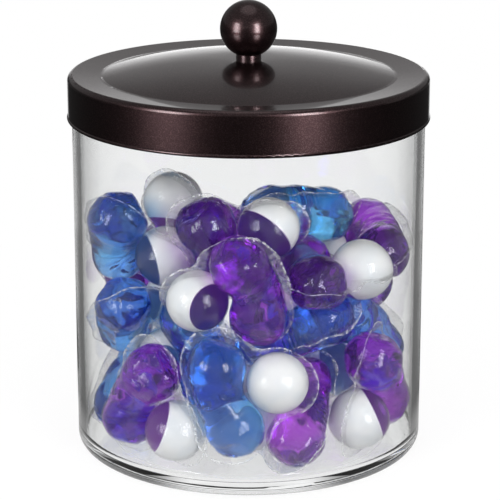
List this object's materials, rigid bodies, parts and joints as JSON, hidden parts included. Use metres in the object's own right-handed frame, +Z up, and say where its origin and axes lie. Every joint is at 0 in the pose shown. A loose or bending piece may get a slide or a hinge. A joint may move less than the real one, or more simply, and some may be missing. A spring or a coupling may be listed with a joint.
{
  "type": "laundry pod container",
  "caption": "Clear round storage jar with a slip-over dark bronze metal lid and ball knob, holding a heap of two-cell laundry pods.",
  "frame": {"origin": "centre of the jar's foot, on the surface that it stands on", "axes": "+Z up along the jar's axis; -Y is the side that the picture shows, +X its right"},
  "size_m": [0.1438, 0.1438, 0.1811],
  "materials": {
    "clear_acrylic": "clear moulded acrylic",
    "bronze_paint": "dark bronze metallic paint with fine flake, glossy",
    "seal_rubber": "pale silicone, matt",
    "screw_steel": "plain zinc-plated steel",
    "purple_gel": "clear purple liquid in glossy film",
    "blue_gel": "clear blue liquid in glossy film",
    "white_liquid": "milky white liquid in glossy film"
  },
  "bodies": {
    "jar": {"jar": "clear_acrylic", "pod_01_pouch": "blue_gel", "pod_01_white_cell": "white_liquid", "pod_02_pouch": "purple_gel", "pod_02_white_cell": "white_liquid", "pod_03_pouch": "purple_gel", "pod_03_white_cell": "white_liquid", "pod_04_pouch": "purple_gel", "pod_04_white_cell": "white_liquid", "pod_05_pouch": "blue_gel", "pod_05_white_cell": "white_liquid", "pod_06_pouch": "purple_gel", "pod_06_white_cell": "white_liquid", "pod_07_pouch": "blue_gel", "pod_07_white_cell": "white_liquid", "pod_08_pouch": "purple_gel", "pod_08_white_cell": "white_liquid", "pod_09_pouch": "blue_gel", "pod_09_white_cell": "white_liquid", "pod_10_pouch": "blue_gel", "pod_10_white_cell": "white_liquid", "pod_11_pouch": "blue_gel", "pod_11_white_cell": "white_liquid", "pod_12_pouch": "purple_gel", "pod_12_white_cell": "white_liquid", "pod_13_pouch": "purple_gel", "pod_13_white_cell": "white_liquid", "pod_14_pouch": "blue_gel", "pod_14_white_cell": "white_liquid", "pod_15_pouch": "blue_gel", "pod_15_white_cell": "white_liquid", "pod_16_pouch": "purple_gel", "pod_16_white_cell": "white_liquid", "pod_17_pouch": "purple_gel", "pod_17_white_cell": "white_liquid", "pod_18_pouch": "purple_gel", "pod_18_white_cell": "white_liquid", "pod_19_pouch": "blue_gel", "pod_19_white_cell": "white_liquid", "pod_20_pouch": "purple_gel", "pod_20_white_cell": "white_liquid", "pod_21_pouch": "purple_gel", "pod_21_white_cell": "white_liquid", "pod_22_pouch": "blue_gel", "pod_22_white_cell": "white_liquid", "pod_23_pouch": "purple_gel", "pod_23_white_cell": "white_liquid", "pod_24_pouch": "purple_gel", "pod_24_white_cell": "white_liquid", "pod_25_pouch": "blue_gel", "pod_25_white_cell": "white_liquid"},
    "lid": {"lid_shell": "bronze_paint", "lid_seal": "seal_rubber", "knob": "bronze_paint", "knob_washer": "screw_steel", "knob_screw": "screw_steel"}
  },
  "joints": [
    {"name": "lid_lift", "type": "slide", "parent": "jar", "child": "lid", "axis": [0, 0, 1], "range_m": [0, 0.06]}
  ]
}
